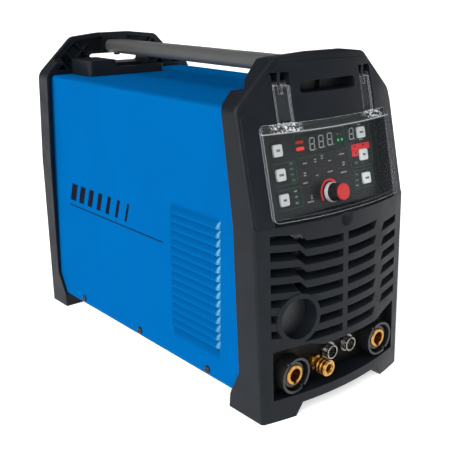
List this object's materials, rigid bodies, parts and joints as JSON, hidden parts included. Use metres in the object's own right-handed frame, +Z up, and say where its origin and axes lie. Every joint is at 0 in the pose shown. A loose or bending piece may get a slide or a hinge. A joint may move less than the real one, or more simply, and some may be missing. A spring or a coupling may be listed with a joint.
{
  "type": "tig welding machine",
  "caption": "Portable inverter TIG welding power source: sheet metal case between two moulded bezels, carrying bar, hinged clear panel cover, keys, dial, output and gas sockets.",
  "frame": {"origin": "on the floor under the middle of the machine's overall box", "axes": "+X to the right seen from the front, the front faces -Y, +Z up"},
  "size_m": [0.217, 0.4336, 0.35],
  "materials": {
    "bezel_plastic": "moulded black plastic with a fine texture",
    "blue_paint": "glossy blue powder coat",
    "galvanised_steel": "zinc plated sheet",
    "black_sheet": "satin black powder coat",
    "socket_plate_black": "satin black",
    "blank_plastic": "smooth black",
    "handle_grey": "satin grey",
    "screw_black": "black oxide",
    "clear_plastic": "clear polycarbonate",
    "steel_bright": "bright steel",
    "fascia_print": "printed black film",
    "display_glass": "smoked window",
    "knob_black": "satin black",
    "knob_red": "red cap",
    "circuit_board": "green solder mask",
    "brass": "turned brass",
    "brass_ringed": "turned brass",
    "fan_plastic": "moulded black",
    "switch_black": "moulded black",
    "switch_red": "moulded red",
    "gland_nylon": "black nylon",
    "hose_rubber": "black hose",
    "heatsink_aluminium": "extruded",
    "module_plastic": "moulded",
    "capacitor_sleeve": "sleeved",
    "ferrite": "ferrite",
    "winding_tape": "taped winding",
    "copper": "copper bar",
    "ribbon_grey": "ribbon cable",
    "socket_plastic": "moulded black",
    "socket_brass": "machined brass",
    "socket_nickel": "nickel plate",
    "socket_insulator": "black insulator",
    "button_white": "satin white key"
  },
  "bodies": {
    "casing": {"front_bezel": "bezel_plastic", "rear_bezel": "bezel_plastic", "side_cover": "blue_paint", "base_plate": "galvanised_steel", "rear_panel": "black_sheet", "socket_plate": "socket_plate_black", "blanking_disc": "blank_plastic", "handle_bar": "handle_grey", "handle_screws": "screw_black", "cover_screws": "screw_black", "bezel_screws": "screw_black", "rear_panel_screws": "screw_black", "hinge_pins": "steel_bright", "control_fascia": "fascia_print", "display_main": "display_glass", "display_aux": "display_glass", "encoder": "steel_bright", "control_pcb": "circuit_board", "pcb_standoffs": "brass", "gas_outlet_body": "brass", "fan_frame": "fan_plastic", "fan_guard": "steel_bright", "fan_screws": "screw_black", "power_switch_body": "switch_black", "cable_gland": "gland_nylon", "cable_gland_nut": "gland_nylon", "gas_inlet": "brass", "solenoid_valve": "brass", "gas_hose": "hose_rubber", "component_deck": "galvanised_steel", "heatsinks": "heatsink_aluminium", "power_modules": "module_plastic", "main_pcb": "circuit_board", "bulk_capacitors": "capacitor_sleeve", "transformer_core": "ferrite", "transformer_winding": "winding_tape", "output_choke": "winding_tape", "hf_coil": "ferrite", "output_busbars": "copper", "ribbon_cable": "ribbon_grey", "output_socket_shell_left": "socket_plastic", "output_socket_shell_right": "socket_plastic", "output_socket_contact_left": "socket_brass", "output_socket_contact_right": "socket_brass", "control_socket_left": "socket_nickel", "control_socket_right": "socket_nickel", "control_socket_insert_left": "socket_insulator", "control_socket_insert_right": "socket_insulator"},
    "clear_cover": {"clear_cover": "clear_plastic"},
    "knob": {"knob": "knob_black", "knob_cap": "knob_red"},
    "gas_sleeve": {"gas_outlet_sleeve": "brass_ringed"},
    "fan_rotor": {"fan_rotor": "fan_plastic"},
    "power_rocker": {"power_switch_rocker": "switch_red"},
    "button_left_top": {"button_left_top": "button_white"},
    "button_left_middle": {"button_left_middle": "button_white"},
    "button_left_bottom": {"button_left_bottom": "button_white"},
    "button_right_top": {"button_right_top": "button_white"},
    "button_right_middle": {"button_right_middle": "button_white"},
    "button_right_bottom": {"button_right_bottom": "button_white"}
  },
  "joints": [
    {"name": "clear_cover_hinge", "type": "hinge", "parent": "casing", "child": "clear_cover", "pos_m": [0, -0.1653, 0.321], "axis": [-1, 0, 0], "range_deg": [0, 98]},
    {"name": "knob_turn", "type": "hinge", "parent": "casing", "child": "knob", "pos_m": [0.0044, -0.18979, 0.21381], "axis": [0, -0.9728, 0.2315], "continuous": true},
    {"name": "gas_sleeve_slide", "type": "slide", "parent": "casing", "child": "gas_sleeve", "axis": [0, 1, 0], "range_m": [0, 0.003], "stiffness_N_per_m": 500},
    {"name": "fan_spin", "type": "hinge", "parent": "casing", "child": "fan_rotor", "pos_m": [0, 0.1722, 0.15], "axis": [0, 1, 0], "continuous": true},
    {"name": "power_rocker_tilt", "type": "hinge", "parent": "casing", "child": "power_rocker", "pos_m": [0.05, 0.1847, 0.246], "axis": [1, 0, 0], "range_deg": [0, 18]},
    {"name": "button_left_top_press", "type": "slide", "parent": "casing", "child": "button_left_top", "axis": [0, 0.9728, -0.2315], "range_m": [0, 0.0007], "stiffness_N_per_m": 400},
    {"name": "button_left_middle_press", "type": "slide", "parent": "casing", "child": "button_left_middle", "axis": [0, 0.9728, -0.2315], "range_m": [0, 0.0007], "stiffness_N_per_m": 400},
    {"name": "button_left_bottom_press", "type": "slide", "parent": "casing", "child": "button_left_bottom", "axis": [0, 0.9728, -0.2315], "range_m": [0, 0.0007], "stiffness_N_per_m": 400},
    {"name": "button_right_top_press", "type": "slide", "parent": "casing", "child": "button_right_top", "axis": [0, 0.9728, -0.2315], "range_m": [0, 0.0007], "stiffness_N_per_m": 400},
    {"name": "button_right_middle_press", "type": "slide", "parent": "casing", "child": "button_right_middle", "axis": [0, 0.9728, -0.2315], "range_m": [0, 0.0007], "stiffness_N_per_m": 400},
    {"name": "button_right_bottom_press", "type": "slide", "parent": "casing", "child": "button_right_bottom", "axis": [0, 0.9728, -0.2315], "range_m": [0, 0.0007], "stiffness_N_per_m": 400}
  ]
}
